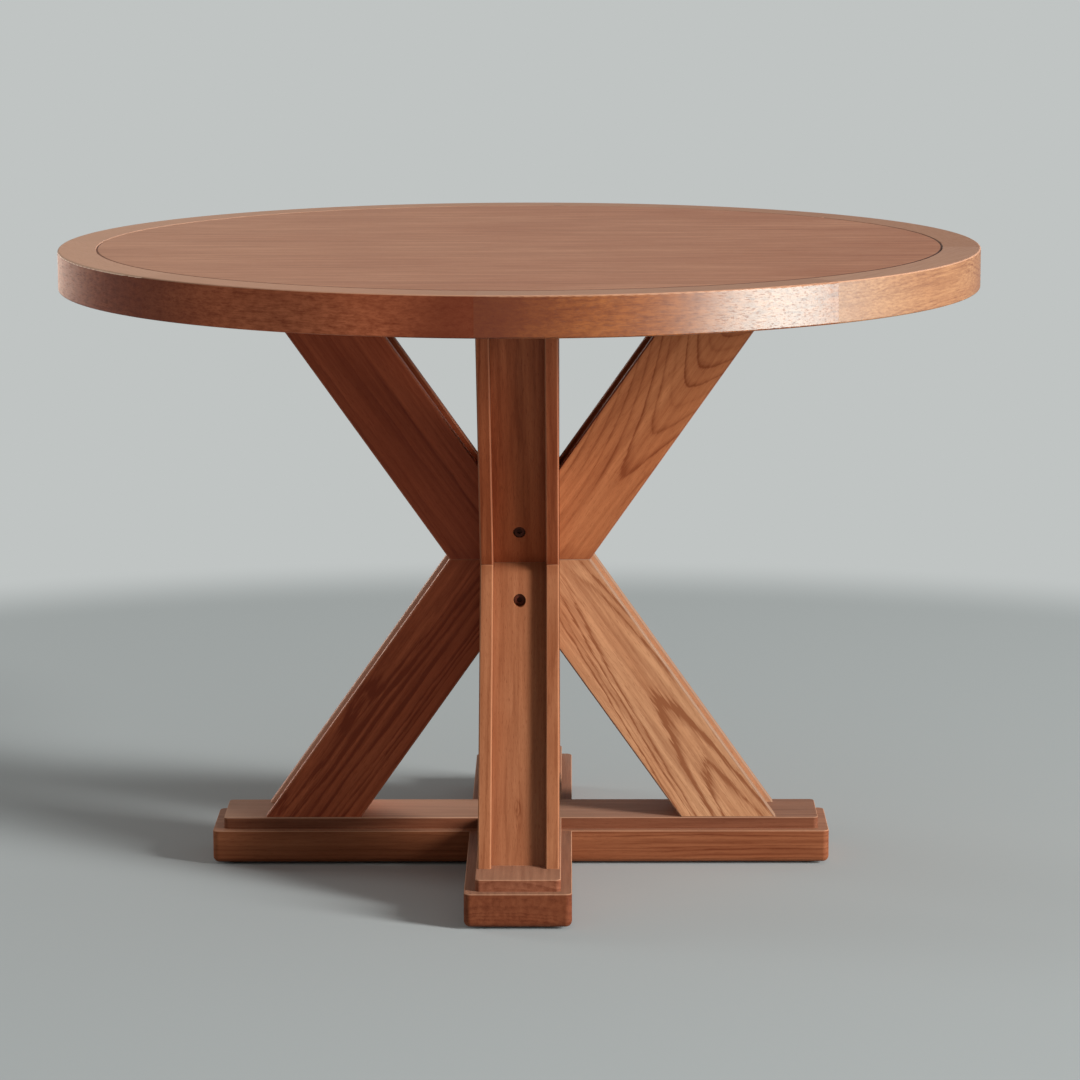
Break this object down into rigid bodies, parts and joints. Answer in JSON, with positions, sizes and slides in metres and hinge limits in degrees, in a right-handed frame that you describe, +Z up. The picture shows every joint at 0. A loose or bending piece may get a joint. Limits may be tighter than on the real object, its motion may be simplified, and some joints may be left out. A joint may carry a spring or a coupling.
{
  "type": "sawbuck dining table",
  "caption": "Round wooden dining table: a rimmed disc top on two crossed X frames of sandwich-built arms, bolted to a hub post and standing on crossed foot beams.",
  "frame": {"origin": "on the floor, under the centre of the top and of the hub post", "axes": "+Z up; X along the frame that lies flat to the front view, left to right; Y from front to rear along the other frame"},
  "size_m": [1.12, 1.12, 0.762],
  "materials": {
    "top_panel_wood": "satin lacquer over reddish brown stain, fine straight grain",
    "rim_wood": "satin lacquer over reddish brown stain",
    "arm_cheek_wood": "satin lacquer over reddish brown stain, cathedral grain along each board",
    "arm_core_wood": "satin lacquer over reddish brown stain, straight grain along each board",
    "foot_beam_wood": "satin lacquer over reddish brown stain",
    "plinth_wood": "satin lacquer over reddish brown stain",
    "inner_wood": "stained, thin satin lacquer",
    "joint_wood": "bare beech",
    "blackened_steel": "blackened, satin",
    "zinc_steel": "zinc plated",
    "glide_nylon": "matte"
  },
  "bodies": {
    "root": {"top_panel": "top_panel_wood", "rim_segment_1": "rim_wood", "rim_segment_2": "rim_wood", "rim_segment_3": "rim_wood", "rim_segment_4": "rim_wood", "rim_segment_5": "rim_wood", "rim_segment_6": "rim_wood", "rim_segment_7": "rim_wood", "rim_segment_8": "rim_wood", "batten_cross": "inner_wood", "batten_lag_screws": "zinc_steel", "batten_long": "inner_wood", "batten_washers": "zinc_steel", "floor_glides": "glide_nylon", "foot_beam_cross": "foot_beam_wood", "foot_beam_long": "foot_beam_wood", "foot_lag_screws": "zinc_steel", "foot_washers": "zinc_steel", "front_lower_cheek_left": "arm_cheek_wood", "front_lower_cheek_right": "arm_cheek_wood", "front_lower_core": "arm_core_wood", "front_upper_cheek_left": "arm_cheek_wood", "front_upper_cheek_right": "arm_cheek_wood", "front_upper_core": "arm_core_wood", "hub_bolts": "blackened_steel", "hub_inserts": "zinc_steel", "hub_post": "inner_wood", "hub_washers": "blackened_steel", "left_lower_cheek_front": "arm_cheek_wood", "left_lower_cheek_rear": "arm_cheek_wood", "left_lower_core": "arm_core_wood", "left_upper_cheek_front": "arm_cheek_wood", "left_upper_cheek_rear": "arm_cheek_wood", "left_upper_core": "arm_core_wood", "mitre_dowels": "joint_wood", "plinth_cross": "plinth_wood", "plinth_front": "plinth_wood", "plinth_rear": "plinth_wood", "rear_lower_cheek_left": "arm_cheek_wood", "rear_lower_cheek_right": "arm_cheek_wood", "rear_lower_core": "arm_core_wood", "rear_upper_cheek_left": "arm_cheek_wood", "rear_upper_cheek_right": "arm_cheek_wood", "rear_upper_core": "arm_core_wood", "right_lower_cheek_front": "arm_cheek_wood", "right_lower_cheek_rear": "arm_cheek_wood", "right_lower_core": "arm_core_wood", "right_upper_cheek_front": "arm_cheek_wood", "right_upper_cheek_rear": "arm_cheek_wood", "right_upper_core": "arm_core_wood", "rim_screws": "zinc_steel", "rim_splines": "joint_wood", "top_screws": "zinc_steel"}
  },
  "joints": []
}
